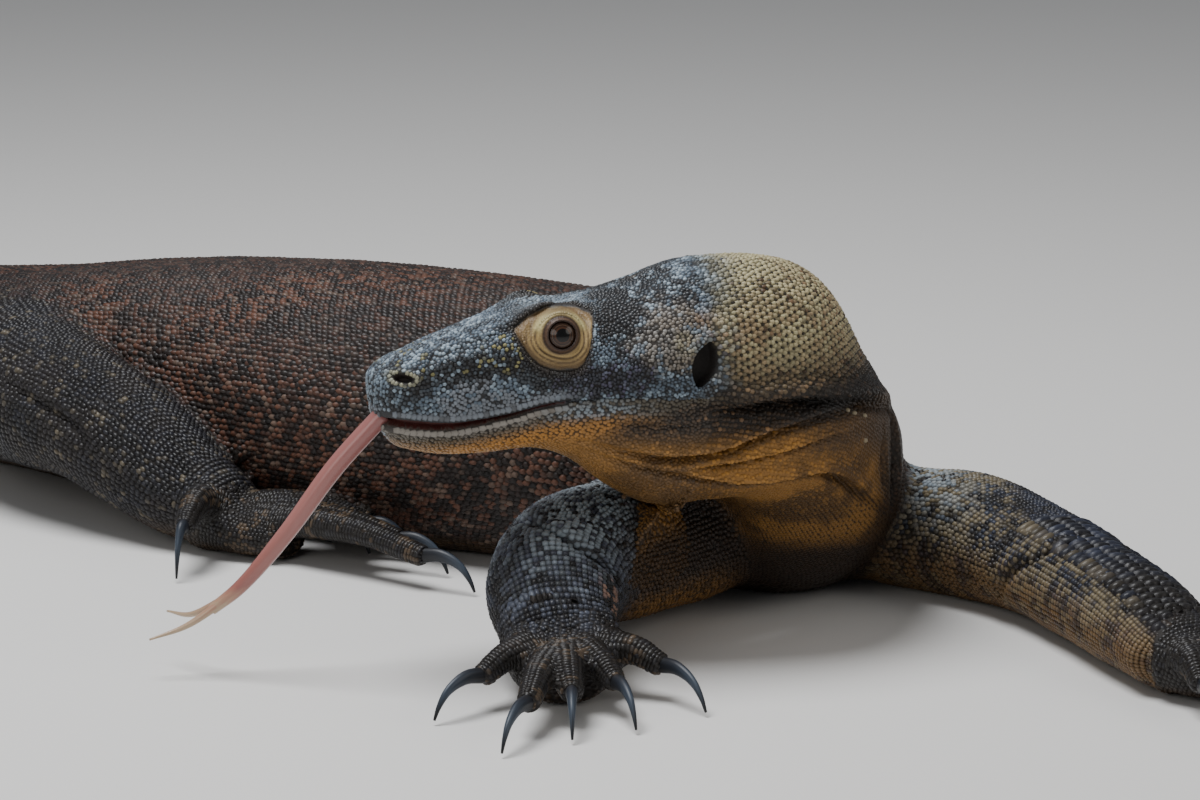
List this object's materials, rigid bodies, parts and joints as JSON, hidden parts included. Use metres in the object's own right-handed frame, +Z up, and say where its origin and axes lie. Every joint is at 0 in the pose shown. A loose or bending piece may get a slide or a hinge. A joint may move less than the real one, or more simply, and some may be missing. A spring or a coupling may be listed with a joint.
{
  "type": "komodo dragon",
  "caption": "Life-size resting Komodo dragon, still model: belly on the floor, neck turned to its right, forked tongue hanging from the mouth, long tail laid in a curve.",
  "frame": {"origin": "on the floor, in the flat patch under the middle of the belly", "axes": "+X runs from the tail's side to the chest's side, +Y to the animal's left at the hips, +Z up; the head looks along -X"},
  "size_m": [1.8946, 0.9703, 0.1965],
  "materials": {
    "head_skin": "slate blue-grey head scales with pale specks, cream eyelids and a dull ochre stripe below the mouth",
    "neck_skin": "cream and ochre neck scales with regular dark dots",
    "body_skin": "rust-brown and charcoal mottled beaded scales, satin",
    "leg_skin": "dark slate scales with pale specks, satin",
    "claw_horn": "polished blue-black horn",
    "eyeball": "wet dark brown eye with a black pupil",
    "tongue_flesh": "moist pink flesh, yellower at the tips"
  },
  "bodies": {
    "root": {"claw_fore_left_i": "claw_horn", "claw_fore_left_ii": "claw_horn", "claw_fore_left_iii": "claw_horn", "claw_fore_left_iv": "claw_horn", "claw_fore_left_v": "claw_horn", "claw_fore_right_i": "claw_horn", "claw_fore_right_ii": "claw_horn", "claw_fore_right_iii": "claw_horn", "claw_fore_right_iv": "claw_horn", "claw_fore_right_v": "claw_horn", "claw_hind_left_i": "claw_horn", "claw_hind_left_ii": "claw_horn", "claw_hind_left_iii": "claw_horn", "claw_hind_left_iv": "claw_horn", "claw_hind_left_v": "claw_horn", "claw_hind_right_i": "claw_horn", "claw_hind_right_ii": "claw_horn", "claw_hind_right_iii": "claw_horn", "claw_hind_right_iv": "claw_horn", "claw_hind_right_v": "claw_horn", "eye_left": "eyeball", "eye_right": "eyeball", "foot_fore_left": "leg_skin", "foot_fore_right": "leg_skin", "foot_hind_left": "leg_skin", "foot_hind_right": "leg_skin", "forearm_fore_left": "leg_skin", "forearm_fore_right": "leg_skin", "head": "head_skin", "lower_jaw": "head_skin", "neck": "neck_skin", "shank_hind_left": "leg_skin", "shank_hind_right": "leg_skin", "tail_base": "body_skin", "tail_middle": "body_skin", "tail_rear": "body_skin", "tail_tip": "body_skin", "thigh_hind_left": "leg_skin", "thigh_hind_right": "leg_skin", "tongue": "tongue_flesh", "trunk": "body_skin", "upper_arm_fore_left": "leg_skin", "upper_arm_fore_right": "leg_skin"}
  },
  "joints": []
}
